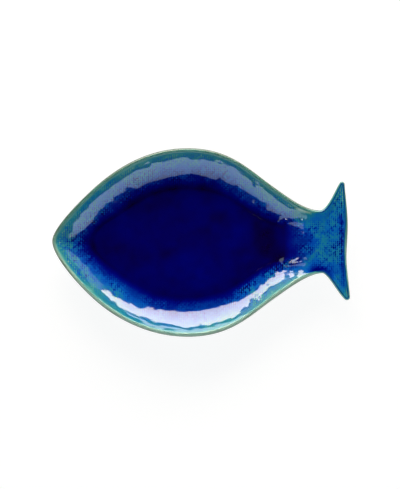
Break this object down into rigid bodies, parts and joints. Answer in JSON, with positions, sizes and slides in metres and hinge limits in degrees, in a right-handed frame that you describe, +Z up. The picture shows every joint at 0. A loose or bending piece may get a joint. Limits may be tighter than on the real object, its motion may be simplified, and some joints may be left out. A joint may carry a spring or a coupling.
{
  "type": "fish shaped serving platter",
  "caption": "Shallow fish-shaped stoneware platter with a leaf-shaped well, a curled-up wall with a rounded rim, a shallow tail fin and a foot ring.",
  "frame": {"origin": "on the plane the platter stands on, under the middle of its length and width", "axes": "+X from the nose to the tail, +Y across the belly, +Z up"},
  "size_m": [0.43, 0.272, 0.042],
  "materials": {
    "stoneware": "fired buff stoneware, matt, under the glaze",
    "bare_foot_clay": "bare fired buff stoneware, matt and slightly gritty",
    "face_glaze": "glossy reactive glaze, cobalt where it pools in the well, turquoise where it runs thin over the cloth print on the wall",
    "rim_glaze": "thin glossy glaze that breaks to celadon and khaki over the rim",
    "back_glaze": "glossy turquoise glaze under the platter",
    "base_glaze": "glossy turquoise glaze inside the foot ring"
  },
  "bodies": {
    "root": {"stoneware_body": "stoneware", "foot_ring": "bare_foot_clay", "face_glaze": "face_glaze", "rim_glaze": "rim_glaze", "back_glaze": "back_glaze", "base_glaze": "base_glaze"}
  },
  "joints": []
}
